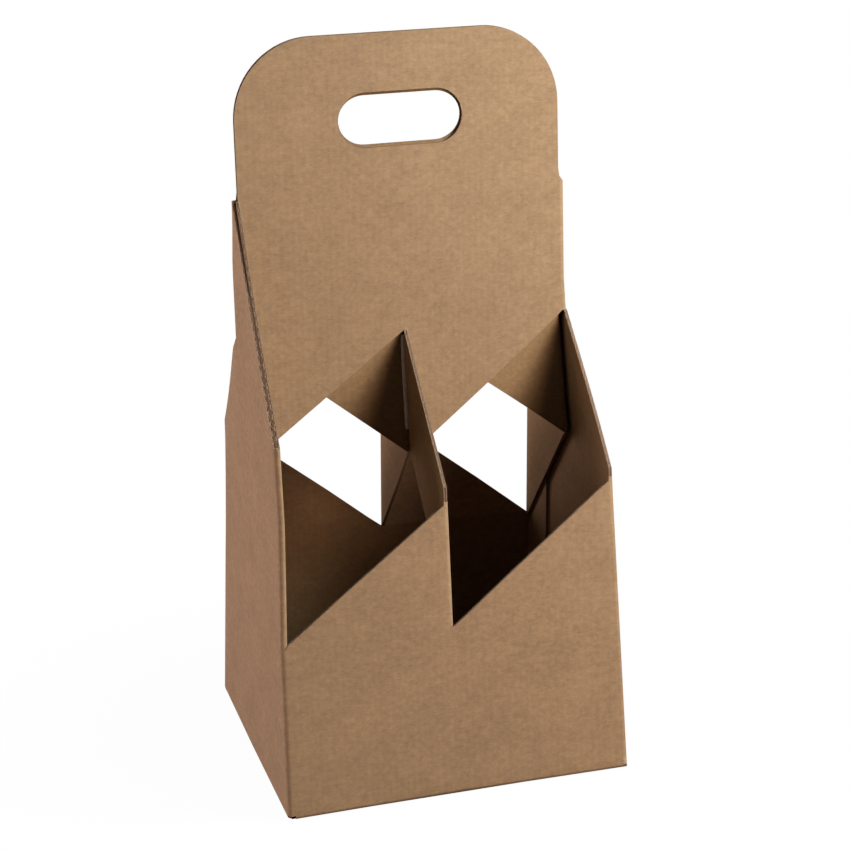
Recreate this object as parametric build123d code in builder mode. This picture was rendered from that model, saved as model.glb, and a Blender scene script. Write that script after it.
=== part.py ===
"""Four-bottle carrier folded from one blank of corrugated card, glued along one side seam.

Millimetres. The origin is on the ground at the middle of the base: X runs along the front,
Y from the front to the back and Z up. The two halves are alike: half a turn about Z brings
the front on to the back. Only two corners differ. At the front left the card simply carries
on round the corner, and at the back right the blank's ends are glued.
"""

import os

from build123d import *

os.makedirs("parts", exist_ok=True)

# Card
ply = 1.6  # thickness of the corrugated card
ply_gap = 0.3  # space between two plies that only lie against each other
fold_radius = 2.4  # outside radius of a folded edge

# Body
body_width = 175.0
body_depth = 160.0
low_wall = 88.0  # height of the front wall at the foot of each tooth
left_tooth_slope = 0.73  # rise of a left tooth's cut, in mm for each mm along the card
right_tooth_slope = 0.77
divider_slope = 0.77
side_slope = 0.81
tip_slit = 3.5  # height of the waste between a right tooth's tip and the card above it
foot_slit = 1.0  # height of the cut between a tooth's foot and the card above it
hinge_length = 65.0  # height of the fold between the divider and the handle panel
lining_drop = 60.5  # from the top of that fold down to the panel's foot at its left end
high_corner = 188.5  # height of a high side wall at its free corner
shoulder = 292.0  # height at which the side walls end against the handle

# Handle
handle_height = 81.0  # from the shoulder to the handle's top edge
handle_inset = 3.0  # how far the handle's sides stand in from the body's
handle_radius = 40.0
shoulder_chamfer = 4.5
hole_width = 65.0
hole_height = 28.0
hole_drop = 43.5  # from the handle's top edge down to the middle of the hand hole

# Glued corner
free_end = 0.5  # how far the glued wall's end stands in from the corner
glue_flap_width = 34.0
glue_flap_foot = 6.0
glue_flap_taper = 9.0

# Bottom flaps
corner_gap = 0.6  # from a bottom flap's folded edge to the corner of the body
flap_climb = 18.0  # length in which a bottom flap bends up to the level of its layer
side_flap_reach = 52.0
side_flap_taper = 24.0
back_flap_reach = 96.0
back_flap_taper = 20.0
notch_depth = 24.0
prong_width = 27.6  # width of the card on each side of the back flap's notch
front_flap_reach = 84.0
front_flap_taper = 20.0
tongue_clearance = 4.0  # from each side of the tongue to the side of the notch
tongue_climb = 12.0
tongue_lap = 24.0  # how much of the tongue lies on the back flap
tongue_radius = 9.0

# Worked out from the sizes above
half_width = body_width / 2
half_depth = body_depth / 2
front_y = -half_depth
handle_top = shoulder + handle_height
hole_middle = handle_top - hole_drop
left_tip = low_wall + left_tooth_slope * half_width
right_tip = low_wall + right_tooth_slope * half_width
strip_front_top = right_tip + tip_slit
strip_front_foot = low_wall + foot_slit
divider_top = strip_front_top + divider_slope * half_depth
side_top = strip_front_top + side_slope * half_depth
hinge_foot = divider_top - hinge_length
lining_foot = divider_top - lining_drop
half_ply = ply / 2  # the dividers stand on the middle plane
ply_clearance = ply_gap / 2  # how far a handle panel stands off the middle plane
panel_front = -ply_clearance - ply  # front face of the front handle panel
hairpin_depth = ply + ply_clearance
plain_lining = -half_width + ply + ply_gap  # left face of the lining at the plain corner
glue_flap_left = -half_width + ply
glue_flap_right = glue_flap_left + ply
glued_lining = glue_flap_right + ply_gap
inside_radius = fold_radius - ply
layer = ply + ply_gap  # height of one layer of bottom flaps


def facing_front(y):
    """A plane of X and Z on which card with its front face at y is drawn."""
    return Plane(origin=(0, y + ply, 0), x_dir=(1, 0, 0), z_dir=(0, -1, 0))


def facing_right(x):
    """A plane of Y and Z on which card with its left face at x is drawn."""
    return Plane.YZ.offset(x)


def sheet(plane, outline):
    """A flat piece of card."""
    with BuildPart() as card:
        with BuildSketch(plane):
            with BuildLine():
                Polyline(*outline, close=True)
            make_face()
        extrude(amount=ply)
    return card.part


def corner_fold(corner, inward, low, high):
    """A quarter turn of card round an upright edge.

    The outer faces would meet at the corner, and inward is the sign of X and of Y towards
    the inside of the turn.
    """
    middle = Vector(*corner) + Vector(*inward) * fold_radius
    quarter = Vector(*corner) + Vector(*inward) * (fold_radius / 2)
    with BuildPart() as fold:
        with BuildSketch(Plane.XY.offset(low)):
            with Locations(middle):
                Circle(fold_radius)
                Circle(inside_radius, mode=Mode.SUBTRACT)
            with Locations(quarter):
                Rectangle(fold_radius, fold_radius, mode=Mode.INTERSECT)
        extrude(amount=high - low)
    return fold.part


def hairpin(lining_left):
    """A half turn of card at the front, above a wall, into the lining."""
    middle = lining_left - ply_clearance
    with BuildPart() as fold:
        with BuildSketch(Plane.XY.offset(strip_front_foot)):
            with Locations((middle, front_y + hairpin_depth)):
                Circle(hairpin_depth)
                Circle(ply_clearance, mode=Mode.SUBTRACT)
            with Locations((middle, front_y + hairpin_depth / 2)):
                Rectangle(2 * hairpin_depth, hairpin_depth, mode=Mode.INTERSECT)
        extrude(amount=high_corner - strip_front_foot)
    return fold.part


# Front wall: two saw teeth that rise to the right, the left one folded back into the divider.
def toothed_wall(left_end):
    """The low wall of one half, from its left end to its fold with the side wall."""
    right_end = half_width - fold_radius
    bend = half_ply - fold_radius
    left_tooth = [
        (left_end, fold_radius),
        (bend, fold_radius),
        (bend, low_wall + left_tooth_slope * (bend + half_width)),
        (left_end, low_wall + left_tooth_slope * (left_end + half_width)),
    ]
    right_tooth = [
        (bend, fold_radius),
        (right_end, fold_radius),
        (right_end, low_wall + right_tooth_slope * right_end),
        (half_ply, low_wall + right_tooth_slope * half_ply),
        (half_ply, low_wall),
        (bend, low_wall),
    ]
    with BuildPart() as wall:
        add(sheet(facing_front(front_y), left_tooth))
        add(sheet(facing_front(front_y), right_tooth))
        add(corner_fold((half_ply, front_y), (-1, 1), strip_front_foot, left_tip))
        add(corner_fold((half_width, front_y), (-1, 1), fold_radius, right_tip))
    return wall.part


# Side wall: low at the front, and high at the back, where it hangs from the end of the handle.
def side_wall(back_edge):
    """The right side wall up to its back edge, with its fold into the handle panel."""
    back_end = back_edge[-1][0]
    bend = panel_front + fold_radius
    high_slope = (shoulder - high_corner) / (half_depth - bend)
    outline = [
        (front_y + fold_radius, fold_radius),
        *back_edge,
        (back_end, high_corner + high_slope * (half_depth - back_end)),
        (bend, shoulder),
        (bend, side_top),
        (panel_front, side_top),
        (front_y + fold_radius, strip_front_top),
    ]
    with BuildPart() as wall:
        add(sheet(facing_right(half_width - ply), outline))
        add(corner_fold((half_width, panel_front), (-1, 1), side_top, shoulder))
    return wall.part


# Handle panel: one of the two plies of the handle. Its foot is cut to the slant of the teeth.
def handle_panel(lining_left):
    """The front ply of the handle, with its rounded top and its hand hole."""
    left_end = lining_left + fold_radius
    right_end = half_width - fold_radius
    bend = fold_radius - half_ply
    side = half_width - handle_inset
    outline = [
        (left_end, lining_foot),
        (-half_ply, divider_top),
        (bend, divider_top),
        (bend, hinge_foot),
        (right_end, side_top),
        (right_end, shoulder),
        (side, shoulder + shoulder_chamfer),
        (side, handle_top),
        (-side, handle_top),
        (-side, shoulder),
        (left_end, shoulder),
    ]
    with BuildPart() as panel:
        with BuildSketch(facing_front(panel_front)) as face:
            with BuildLine():
                Polyline(*outline, close=True)
            make_face()
            fillet(face.vertices().group_by(Axis.Y)[-1], handle_radius)
            with Locations((0, hole_middle)):
                SlotOverall(hole_width, hole_height, mode=Mode.SUBTRACT)
        extrude(amount=ply)
    return panel.part


# Divider: a slanted strip from the front wall back to the handle panel, between two bottles.
def divider():
    """The strip between the two front cells, with its fold into the handle panel."""
    front_end = front_y + fold_radius
    back_end = -ply_clearance - fold_radius
    outline = [
        (front_end, strip_front_foot),
        (back_end, hinge_foot),
        (back_end, divider_top),
        (front_end, strip_front_top),
    ]
    with BuildPart() as strip:
        add(sheet(facing_right(-half_ply), outline))
        add(corner_fold((-half_ply, -ply_clearance), (1, -1), hinge_foot, divider_top))
    return strip.part


# Lining: the inner ply of a high side wall, from the handle panel forward to the free corner.
def lining(lining_left):
    """The lining of the left side, with its folds into the handle panel and at the corner."""
    front_end = front_y + hairpin_depth
    back_end = -ply_clearance - fold_radius
    outline = [
        (front_end, strip_front_foot),
        (back_end, lining_foot),
        (back_end, shoulder),
        (front_end, high_corner),
    ]
    with BuildPart() as inner_ply:
        add(sheet(facing_right(lining_left), outline))
        add(corner_fold((lining_left, -ply_clearance), (1, -1), lining_foot, shoulder))
        add(hairpin(lining_left))
    return inner_ply.part


# Glued corner, drawn at the front left and turned to the back right with the back half: the
# wall's end folds back along the inside of the side wall.
flap_front_end = front_y + fold_radius
flap_back_end = front_y + glue_flap_width
high_rise = (shoulder - high_corner) / half_depth

with BuildPart() as glue_flap:
    add(corner_fold((glue_flap_left, front_y), (1, 1), glue_flap_foot, low_wall))
    add(
        sheet(
            facing_right(glue_flap_left),
            [
                (front_y + hairpin_depth, strip_front_foot),
                (flap_front_end, strip_front_foot),
                (flap_front_end, glue_flap_foot),
                (flap_back_end, glue_flap_foot + glue_flap_taper),
                (flap_back_end, high_corner + high_rise * glue_flap_width - glue_flap_taper),
                (front_y + hairpin_depth, high_corner),
            ],
        )
    )

# The back edge of each half's side wall belongs to the other half's corner.
edge_at_fold = [
    (half_depth - fold_radius, fold_radius),
    (half_depth - fold_radius, strip_front_foot),
    (half_depth - hairpin_depth, strip_front_foot),
]
free_edge = [(half_depth - free_end, fold_radius)]

with BuildPart() as front_half:
    add(toothed_wall(-half_width + fold_radius))
    add(corner_fold((-half_width, front_y), (1, 1), fold_radius, low_wall))
    add(side_wall(free_edge))
    add(handle_panel(plain_lining))
    add(divider())
    add(lining(plain_lining))

with BuildPart() as back_half:
    add(toothed_wall(glue_flap_left + fold_radius))
    add(glue_flap.part)
    add(side_wall(edge_at_fold))
    add(handle_panel(glued_lining))
    add(divider())
    add(lining(glued_lining))


# Bottom: four flaps that hook into each other, each drawn at a wall whose foot is on the X axis.
def bottom_flap(levels, outline, root_left, root_right):
    """A bottom flap with the fold at its root.

    Levels are pairs of a distance from the wall and the height of the flap's underside there,
    outline is the right half of its plan, and the roots tell how far its folded edge reaches
    to the left and to the right.
    """
    top = [(y, z + ply) for y, z in reversed(levels)]
    left = [(-x, y) for x, y in reversed(outline)]
    reach = max(y for y, z in levels)
    with BuildPart() as flap:
        with BuildSketch(Plane.YZ) as section:
            with BuildLine():
                Polyline(*levels, *top, close=True)
            make_face()
        extrude(amount=half_width, both=True)
        with BuildSketch(Plane.XY) as plan:
            with BuildLine():
                Polyline(*outline, *left, close=True)
            make_face()
            fillet(plan.vertices().group_by(Axis.Y)[-1], tongue_radius)
        extrude(amount=reach, mode=Mode.INTERSECT)
        with BuildSketch(Plane.YZ.offset(-root_left)) as bend:
            with Locations((fold_radius, fold_radius)):
                Circle(fold_radius)
                Circle(inside_radius, mode=Mode.SUBTRACT)
            with Locations((fold_radius / 2, fold_radius / 2)):
                Rectangle(fold_radius, fold_radius, mode=Mode.INTERSECT)
        extrude(amount=root_left + root_right)
    return flap.part


flap_half = half_width - ply - fold_radius  # to where the glued wall's fold begins
corner_root = half_width - corner_gap
side_root = half_depth - fold_radius - corner_gap
notch_half = flap_half - back_flap_taper - prong_width
tongue_half = notch_half - tongue_clearance
tongue_foot = front_flap_reach - tongue_climb + fold_radius
tongue_end = front_flap_reach + tongue_lap

front_flap = bottom_flap(
    levels=[
        (fold_radius, 0),
        (tongue_foot, 0),
        (tongue_foot + tongue_climb, 3 * layer),
        (tongue_end, 3 * layer),
    ],
    outline=[
        (flap_half, fold_radius),
        (flap_half - front_flap_taper, fold_radius + front_flap_taper),
        (flap_half - front_flap_taper, tongue_foot),
        (tongue_half, tongue_foot),
        (tongue_half, tongue_end),
    ],
    root_left=flap_half,
    root_right=corner_root,
)
side_flap = bottom_flap(
    levels=[(fold_radius, 0), (fold_radius + flap_climb, layer), (side_flap_reach, layer)],
    outline=[
        (side_root, fold_radius),
        (side_root - side_flap_taper, fold_radius + side_flap_taper),
        (side_root - 2 * side_flap_taper, side_flap_reach),
    ],
    root_left=side_root,
    root_right=side_root,
)
back_flap = bottom_flap(
    levels=[(fold_radius, 0), (fold_radius + flap_climb, 2 * layer), (back_flap_reach, 2 * layer)],
    outline=[
        (flap_half, fold_radius),
        (flap_half - back_flap_taper, fold_radius + back_flap_taper),
        (flap_half - back_flap_taper, back_flap_reach),
        (notch_half, back_flap_reach),
        (notch_half, back_flap_reach - notch_depth),
    ],
    root_left=flap_half,
    root_right=corner_root,
)

with BuildPart() as carrier:
    add(front_half.part)
    add(back_half.part, rotation=(0, 0, 180))
    with Locations((0, front_y, 0)):
        add(front_flap)
    with Locations(Location((0, half_depth, 0), (0, 0, 180))):
        add(back_flap)
    with Locations(
        Location((half_width, 0, 0), (0, 0, 90)),
        Location((-half_width, 0, 0), (0, 0, -90)),
    ):
        add(side_flap)

carrier.part.label = "carrier"
export_step(carrier.part, "parts/carrier.step")

print("solids", len(carrier.part.solids()), "volume", round(carrier.part.volume))
print(carrier.part.bounding_box())
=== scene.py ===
# %% [markdown]
# # A bottle carrier of corrugated card
#
# One sheet of brown corrugated card makes the whole carrier: walls, dividers and a tall handle of
# two plies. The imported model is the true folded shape. This lesson gives it what a straight
# folded model lacks: the slack bend of card that stands by itself, the fluted core in every cut
# edge, and the fibres of kraft paper. The first cell loads the model, which stays where it is.

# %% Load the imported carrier
import math

import bmesh
import bpy
import numpy as np
from mathutils import Matrix, Vector
from mathutils.bvhtree import BVHTree


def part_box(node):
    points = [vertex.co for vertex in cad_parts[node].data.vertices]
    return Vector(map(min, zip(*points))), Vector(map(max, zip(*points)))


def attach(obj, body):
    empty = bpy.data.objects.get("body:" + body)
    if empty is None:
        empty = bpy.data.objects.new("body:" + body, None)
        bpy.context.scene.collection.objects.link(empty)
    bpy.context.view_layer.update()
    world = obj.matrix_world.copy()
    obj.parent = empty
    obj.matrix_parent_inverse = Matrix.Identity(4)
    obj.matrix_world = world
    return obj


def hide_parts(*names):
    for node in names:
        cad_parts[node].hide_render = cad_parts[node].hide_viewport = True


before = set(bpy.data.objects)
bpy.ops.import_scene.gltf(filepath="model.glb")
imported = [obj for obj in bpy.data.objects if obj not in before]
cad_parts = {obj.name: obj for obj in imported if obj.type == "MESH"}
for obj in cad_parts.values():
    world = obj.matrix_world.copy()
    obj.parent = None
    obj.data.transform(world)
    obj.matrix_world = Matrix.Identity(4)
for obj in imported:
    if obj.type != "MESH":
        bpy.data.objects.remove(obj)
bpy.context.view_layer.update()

MM = 0.001
box_low, box_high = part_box("carrier")
print("carrier", [round(c / MM, 1) for c in box_low], "to", [round(c / MM, 1) for c in box_high])

# %% [markdown]
# Three small helpers serve every material. Colours are read off as hex values, which are sRGB, and
# Blender's shaders want linear light. A shader tree is easier to read when one function adds a
# node, sets it up and joins it. The third starts a material with nothing but its output.


# %% Helpers for colours and nodes
def linear(hex_colour):
    """The linear RGBA of an sRGB colour such as #a98b68."""
    channels = [int(hex_colour[i : i + 2], 16) / 255 for i in (1, 3, 5)]
    return [c / 12.92 if c <= 0.04045 else ((c + 0.055) / 1.055) ** 2.4 for c in channels] + [1.0]


def add_node(tree, kind, settings=None, values=None, links=None):
    """Adds a node to a tree, with its settings, its input values and the sockets it takes."""
    node = tree.nodes.new(kind)
    for name, value in (settings or {}).items():
        setattr(node, name, value)
    for socket, value in (values or {}).items():
        node.inputs[socket].default_value = value
    for socket, source in (links or {}).items():
        tree.links.new(source, node.inputs[socket])
    return node


def new_material(name):
    """An empty material with its output node."""
    material = bpy.data.materials.new(name)
    material.use_nodes = True
    material.node_tree.nodes.clear()
    return material, add_node(material.node_tree, "ShaderNodeOutputMaterial")


print("the grey #808080 is", round(linear("#808080")[0], 3), "in linear light")

# %% [markdown]
# The camera stands in front of the left corner and looks down a little, from well back, so that
# upright edges stay nearly parallel. Its place was worked out from the corners of the carrier, in
# millimetres from the middle of the base. The carrier is racked, so its front wall is turned a
# little one way from the true shape and its side walls the other way. The camera allows for that.

# %% Camera
RACKED_TURN = math.radians(2.63)  # half of the angle by which the racked walls miss a right angle
FRONT_VIEW_TURN = Matrix.Rotation(RACKED_TURN, 4, "Z")
CAMERA_PLACE = Vector((-406.6, -1272.0, 572.3)) * MM
CAMERA_AZIMUTH = math.radians(-18.01)
CAMERA_TILT = math.radians(16.81)
CAMERA_ROLL = math.radians(-0.87)
LENS = 114.35
SENSOR = 36.0
NEAREST_SEEN, FARTHEST_SEEN = 0.05, 50.0  # metres

camera_data = bpy.data.cameras.new("camera")
camera_data.lens = LENS
camera_data.sensor_width = SENSOR
camera_data.clip_start = NEAREST_SEEN
camera_data.clip_end = FARTHEST_SEEN
camera = bpy.data.objects.new("camera", camera_data)
bpy.context.collection.objects.link(camera)
turn = Matrix.Rotation(CAMERA_AZIMUTH, 4, "Z")
look_down = Matrix.Rotation(math.pi / 2 - CAMERA_TILT, 4, "X")
roll = Matrix.Rotation(CAMERA_ROLL, 4, "Z")
camera.matrix_world = FRONT_VIEW_TURN @ Matrix.Translation(CAMERA_PLACE) @ turn @ look_down @ roll
bpy.context.scene.camera = camera
print("camera looks along", [round(c, 4) for c in camera.matrix_world.to_3x3() @ Vector((0, 0, -1))])

# %% [markdown]
# The carrier stands on white studio paper, in a white surround. Both look white to the camera and
# dull to the card, so that they throw little light back on it. Light Path tells what kind of ray
# looks at them. Glossy and transmission rays count as the camera's own.


# %% What the camera sees directly
def seen_directly(tree):
    """A socket that is 1 for camera, glossy and transmission rays."""
    path = add_node(tree, "ShaderNodeLightPath")
    glossy = add_node(
        tree,
        "ShaderNodeMath",
        {"operation": "MAXIMUM"},
        links={0: path.outputs["Is Camera Ray"], 1: path.outputs["Is Glossy Ray"]},
    )
    either = add_node(
        tree,
        "ShaderNodeMath",
        {"operation": "MAXIMUM"},
        links={0: glossy.outputs[0], 1: path.outputs["Is Transmission Ray"]},
    )
    return either.outputs[0]


# %% [markdown]
# Matt studio paper keeps a soft shadow under the carrier. The camera sees it nearly white there,
# and quite white farther off, where a glow takes over from the lit paper.

# %% Studio paper
FLOOR_REACH = 8.0  # metres from the middle to each side
FLOOR_GLOW = 0.972  # share of the floor's look that is plain white to the camera, near the carrier
SHADOW_REACH = (0.12, 0.3)  # metres from the middle at which the shadow begins and ends to fade
PAPER_SEEN = "#ffffff"
PAPER_UNSEEN = "#6f6b66"
ROUND_THE_MIDDLE = ((-1, -1), (1, -1), (1, 1), (-1, 1))  # the signs of a floor sheet's corners


def floor_material():
    """Matt studio paper, nearly white to the camera."""
    material, output = new_material("studio_paper")
    tree = material.node_tree
    seen = seen_directly(tree)
    colour = add_node(
        tree,
        "ShaderNodeMix",
        {"data_type": "RGBA"},
        {"A": linear(PAPER_UNSEEN), "B": linear(PAPER_SEEN)},
        {"Factor": seen},
    )
    paper = add_node(tree, "ShaderNodeBsdfDiffuse", links={"Color": colour.outputs["Result"]})
    white = add_node(tree, "ShaderNodeEmission", values={"Color": linear(PAPER_SEEN)})
    place = add_node(tree, "ShaderNodeTexCoord")
    distance = add_node(
        tree, "ShaderNodeVectorMath", {"operation": "LENGTH"}, links={0: place.outputs["Object"]}
    )
    glow = add_node(
        tree,
        "ShaderNodeMapRange",
        {"interpolation_type": "SMOOTHSTEP"},
        {"From Min": SHADOW_REACH[0], "From Max": SHADOW_REACH[1], "To Min": FLOOR_GLOW, "To Max": 1.0},
        {"Value": distance.outputs["Value"]},
    )
    share = add_node(
        tree,
        "ShaderNodeMath",
        {"operation": "MULTIPLY"},
        links={0: seen, 1: glow.outputs["Result"]},
    )
    mix = add_node(
        tree,
        "ShaderNodeMixShader",
        links={0: share.outputs[0], 1: paper.outputs[0], 2: white.outputs[0]},
    )
    tree.links.new(mix.outputs[0], output.inputs["Surface"])
    return material


floor_mesh = bpy.data.meshes.new("floor")
floor_corners = [(x * FLOOR_REACH, y * FLOOR_REACH, 0) for x, y in ROUND_THE_MIDDLE]
floor_mesh.from_pydata(floor_corners, [], [(0, 1, 2, 3)])
floor_mesh.materials.append(floor_material())
floor = bpy.data.objects.new("floor", floor_mesh)
bpy.context.collection.objects.link(floor)
print("floor", 2 * FLOOR_REACH, "m wide")

# %% [markdown]
# The surround is plain white to the camera and nearly dark to the card, which the lamps light.

# %% Surround
AMBIENT = "#fff0e6"
AMBIENT_STRENGTH = 0.01

world = bpy.data.worlds.new("surround")
bpy.context.scene.world = world
world.use_nodes = True
world.node_tree.nodes.clear()
dim = add_node(
    world.node_tree,
    "ShaderNodeBackground",
    values={"Color": linear(AMBIENT), "Strength": AMBIENT_STRENGTH},
)
bright = add_node(
    world.node_tree, "ShaderNodeBackground", values={"Color": linear("#ffffff"), "Strength": 1.0}
)
surround = add_node(
    world.node_tree,
    "ShaderNodeMixShader",
    links={0: seen_directly(world.node_tree), 1: dim.outputs[0], 2: bright.outputs[0]},
)
add_node(world.node_tree, "ShaderNodeOutputWorld", links={"Surface": surround.outputs[0]})
bpy.context.scene.view_settings.view_transform = "Standard"
print("ambient light", AMBIENT_STRENGTH)

# %% [markdown]
# Four lamps light the carrier. The key light is near it, high at the right: it lights the handle's
# right end nearly twice as much as the left foot, and it reaches down into no cell. A wide soft
# lamp in front fills the front wall and passes under the front divider into the left cell. A lamp
# at the left lights the outer side wall and the folds that face it, and a weak one behind it
# reaches the linings in the back cells. A strength of 1 lights a face that is turned to the lamp,
# at the carrier's middle, so that its colour renders as written.


# %% Lamps
def lamp(name, azimuth, elevation, distance, size, strength, colour):
    """A square lamp that looks at the middle of the carrier."""
    target = (box_low + box_high) / 2
    a, e = math.radians(azimuth) + RACKED_TURN, math.radians(elevation)
    towards = Vector((math.sin(a) * math.cos(e), -math.cos(a) * math.cos(e), math.sin(e)))
    data = bpy.data.lights.new(name, "AREA")
    data.size = size
    data.energy = strength * (math.pi * distance) ** 2
    data.color = linear(colour)[:3]
    light = bpy.data.objects.new(name, data)
    light.location = target + towards * distance
    light.rotation_euler = (-towards).to_track_quat("-Z", "Y").to_euler()
    bpy.context.collection.objects.link(light)
    print(name, [round(c, 2) for c in light.location], round(data.energy, 1), "W")


lamp("key", azimuth=60, elevation=40, distance=0.8, size=0.32, strength=1.33, colour="#f1fffc")
lamp("front_fill", azimuth=28, elevation=12, distance=1.0, size=0.42, strength=0.46, colour="#ffe4d1")
lamp("left_fill", azimuth=-91, elevation=16, distance=1.5, size=0.7, strength=0.5, colour="#fff1f1")
lamp("rear_fill", azimuth=-135, elevation=24, distance=1.4, size=0.8, strength=0.25, colour="#ffecef")

# %% [markdown]
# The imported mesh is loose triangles, so a copy of it is merged first. Then each face is asked how
# thick the carrier is behind it. Behind the smooth paper of the liner there are 1.6 mm of card, or
# 3.2 mm where two plies are glued. Behind a cut edge the card goes on for centimetres. This one
# rule finds every cut edge, with no list of places. The board's inner liner is browner than its
# outer one. A face shows the inner liner where it looks at another part of the carrier, or where
# it lies in the handle's mid-plane, which a cut window lays open.

# %% Tell papers and cut edges apart
MERGE_DISTANCE = 0.001 * MM
STEP_INSIDE = 0.05 * MM
THICKEST_CARD = 4.0 * MM
MID_PLANE = 0.5 * MM
WIDEST_CELL = 180 * MM
ALONG_AXIS = 0.9  # a face looks along an axis when this much of its direction does
FLAT_ANGLE = math.radians(0.1)
PAPER, INNER, CUT, HOLLOW, SEAM = range(5)

card = bmesh.new()
card.from_mesh(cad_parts["carrier"].data)
bmesh.ops.remove_doubles(card, verts=card.verts, dist=MERGE_DISTANCE)
search = BVHTree.FromBMesh(card)


def free_way(start, direction):
    """How far a ray goes before it meets the card, or None where it meets nothing."""
    return search.ray_cast(start, direction)[3]


def depth_behind(face):
    """How far it is from a face through the card to the next surface."""
    inward = -face.normal
    start = face.calc_center_median() + inward * STEP_INSIDE
    return STEP_INSIDE + (free_way(start, inward) or 0.0)


def looks_inside(face):
    """Whether a face of paper is on the board's inner side."""
    start = face.calc_center_median()
    in_handle_middle = abs(start.y) < MID_PLANE and abs(face.normal.y) > ALONG_AXIS
    outlook = free_way(start + face.normal * STEP_INSIDE, face.normal)
    return in_handle_middle or (outlook is not None and MID_PLANE < outlook < WIDEST_CELL)


for face in card.faces:
    if depth_behind(face) > THICKEST_CARD:
        face.material_index = CUT
    else:
        face.material_index = INNER if looks_inside(face) else PAPER
bmesh.ops.dissolve_limit(
    card, angle_limit=FLAT_ANGLE, verts=card.verts, edges=card.edges, delimit={"MATERIAL"}
)
cut_faces = [face for face in card.faces if face.material_index == CUT]
cut_area = sum(face.calc_area() for face in cut_faces)
print(len(card.faces), "faces, of which cut", len(cut_faces), "with", round(cut_area / MM**2), "mm2")

# %% [markdown]
# Corrugated card is a fluted paper between two flat ones. Its cut edge shows both liners as thin
# lips with a channel between them, in which the fluted paper runs as a wave. The lips and the
# channel are made by two insets of the cut faces: one straight, and one that sinks. Where two plies
# lie together, a lip looks into the seam between them. It is found by a ray across the seam, and it
# takes a darker colour, which paints the shade in the seam.

# %% Lips and channel of the cut edges
LINER = 0.36 * MM
CHANNEL_DEPTH = 0.35 * MM
CHANNEL_LEAN = 0.03 * MM
SEAM_REACH = 0.5 * MM  # a surface that is nearer than this across a lip's rim makes a seam


def across_rim(lip):
    """How far it is from a lip's rim to the next surface in the lip's own plane."""
    rim = next(edge for edge in lip.edges if any(face.material_index < CUT for face in edge.link_faces))
    middle = (rim.verts[0].co + rim.verts[1].co) / 2
    outward = (middle - lip.calc_center_median()).normalized()
    start = middle + outward * STEP_INSIDE - lip.normal * LINER
    return free_way(start, outward) or math.inf


lips = bmesh.ops.inset_region(
    card, faces=cut_faces, thickness=LINER, depth=0.0, use_even_offset=False, use_boundary=True
)["faces"]
card.normal_update()
seam_lips = [lip for lip in lips if across_rim(lip) < SEAM_REACH]
bmesh.ops.inset_region(
    card,
    faces=cut_faces,
    thickness=CHANNEL_LEAN,
    depth=-CHANNEL_DEPTH,
    use_even_offset=False,
    use_boundary=True,
)
for face in cut_faces:
    face.material_index = HOLLOW
# Lips beside a seam take a darker colour: painted shade in the seam.
for face in seam_lips:
    face.material_index = SEAM
card.normal_update()
print("faces with channels", len(card.faces), "lips", len(lips), "beside a seam", len(seam_lips))

# %% [markdown]
# The fluted paper follows the channel. A centre line runs through the channel's faces, from the
# middle of each short edge that two of them share to the middle of the next one. Each point keeps
# the direction out of the card, and the direction of the flutes: upright in the walls, and away
# from the fold in the four bottom flaps.

# %% Centre lines of the channels
FLAP_LAYERS = 8.0 * MM  # the bottom flaps all lie below this height
SIDE_FLAP_LAYER = (1.8 * MM, 3.7 * MM)
SIDE_FLAP_EDGE = 30.0 * MM  # the side flaps lie farther out than this


def flute_direction(point):
    """The direction in which the flutes run at a point of the carrier."""
    if point.z > FLAP_LAYERS:
        return Vector((0, 0, 1))
    on_side_flap = SIDE_FLAP_LAYER[0] < point.z < SIDE_FLAP_LAYER[1] and abs(point.x) > SIDE_FLAP_EDGE
    return Vector((1, 0, 0)) if on_side_flap else Vector((0, 1, 0))


def centre_lines(faces):
    """Points, joins and outward directions of the lines along the middle of strips of faces."""
    strip = set(faces)
    points, joins, outward = [], [], []
    place = {}
    for face in faces:
        middle = len(points)
        points.append(face.calc_center_median_weighted())
        outward.append(face.normal.copy())
        for edge in face.edges:
            if len(edge.link_faces) == 2 and all(f in strip for f in edge.link_faces):
                if edge not in place:
                    place[edge] = len(points)
                    points.append((edge.verts[0].co + edge.verts[1].co) / 2)
                    outward.append(sum((f.normal for f in edge.link_faces), Vector()).normalized())
                joins.append((middle, place[edge]))
    return points, joins, outward


line_points, line_joins, line_outward = centre_lines(cut_faces)
line_mesh = bpy.data.meshes.new("channel_lines")
line_mesh.from_pydata(line_points, line_joins, [])
for name, vectors in (("outward", line_outward), ("flute", [flute_direction(p) for p in line_points])):
    attribute = line_mesh.attributes.new(name, "FLOAT_VECTOR", "POINT")
    attribute.data.foreach_set("vector", np.array(vectors, dtype=np.float32).ravel())
channel_lines = bpy.data.objects.new("channel_lines", line_mesh)
bpy.context.collection.objects.link(channel_lines)
line_length = sum((line_points[a] - line_points[b]).length for a, b in line_joins)
print("centre lines", round(line_length / MM), "mm long")

# %% [markdown]
# Geometry Nodes turn the centre lines into the wave. Each line is cut into short steps. Adding up
# the steps gives how far a point is along the cut, less the part of each step that runs with the
# flutes, because a cut along a flute shows no wave. Divided by the pitch it is the number of
# flutes that the cut has passed.

# %% How many flutes a cut has passed
FLUTE_PITCH = 3.2 * MM


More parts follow.
